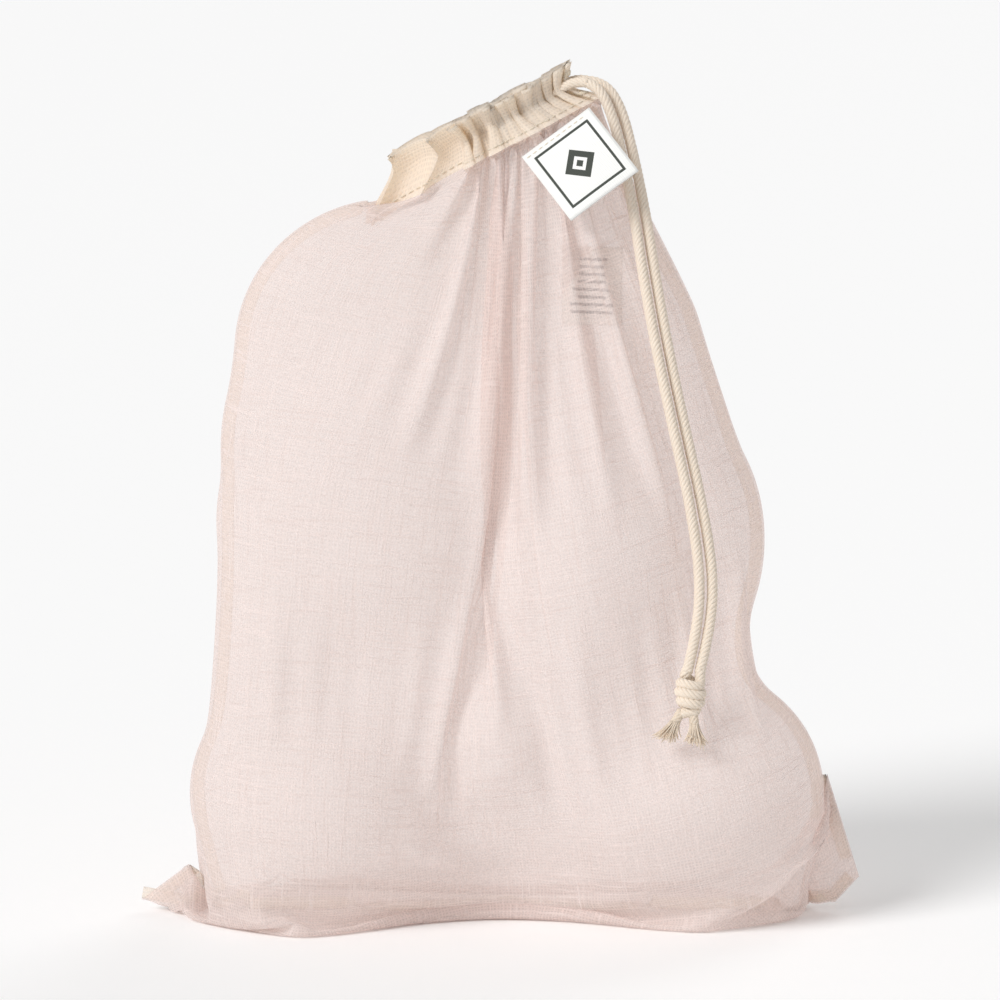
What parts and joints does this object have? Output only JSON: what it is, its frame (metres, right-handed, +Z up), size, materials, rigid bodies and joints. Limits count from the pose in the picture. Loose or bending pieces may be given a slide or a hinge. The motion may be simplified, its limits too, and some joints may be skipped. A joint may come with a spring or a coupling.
{
  "type": "drawstring produce bag",
  "caption": "Sheer cotton gauze produce bag standing filled, its mouth drawn closed by a doubled, knotted drawstring, with a sewn label near the top.",
  "frame": {"origin": "middle of the flat base that the filled bag stands on", "axes": "+Z up through the bag, +X towards the side where the drawstring comes out, -Y to the front that carries the label"},
  "size_m": [0.245, 0.1132, 0.2897],
  "materials": {
    "gauze": "sheer plain-woven cotton, matt",
    "gauze_seam": "doubled cotton gauze, matt",
    "hem": "doubled cotton gauze, matt",
    "thread": "spun sewing thread, matt",
    "cord": "plied cotton cord, matt",
    "cord_fray": "loose cotton fibres, matt",
    "woven_label": "woven tape, satin",
    "care_tape": "woven tape, satin"
  },
  "bodies": {
    "bag": {"front_panel": "gauze", "back_panel": "gauze", "left_side_seam": "gauze_seam", "right_side_seam": "gauze_seam", "bottom_seam": "gauze_seam", "front_casing": "hem", "back_casing": "hem", "front_casing_stitching": "thread", "back_casing_stitching": "thread", "exit_bartacks": "thread", "drawstring_loop": "cord"},
    "drawstring_strands": {"drawstring_front_strand": "cord", "drawstring_rear_strand": "cord"},
    "drawstring_end": {"drawstring_knot": "cord", "front_tail_tuft": "cord_fray", "rear_tail_tuft": "cord_fray"},
    "maker_label": {"maker_label": "woven_label", "maker_label_stitching": "thread"},
    "care_label": {"care_label": "care_tape", "care_label_stitching": "thread"}
  },
  "joints": [
    {"name": "drawstring_lift", "type": "hinge", "parent": "bag", "child": "drawstring_strands", "pos_m": [0.0229, -0.0039, 0.2853], "axis": [-0.87, -0.493, 0], "range_deg": [0, 75]},
    {"name": "drawstring_pull", "type": "slide", "parent": "drawstring_strands", "child": "drawstring_end", "axis": [-0.1545, -0.2124, -0.9649], "range_m": [0, 0.03], "deforming": ["drawstring_front_strand", "drawstring_rear_strand"]},
    {"name": "maker_label_flap", "type": "hinge", "parent": "bag", "child": "maker_label", "pos_m": [0.01175, -0.01691, 0.27136], "axis": [-0.8037, -0.1206, -0.5827], "range_deg": [0, 110]},
    {"name": "care_label_flap", "type": "hinge", "parent": "bag", "child": "care_label", "pos_m": [0.025, 0.0196, 0.228], "axis": [-0.9292, 0.3697, 0], "range_deg": [0, 60]}
  ]
}
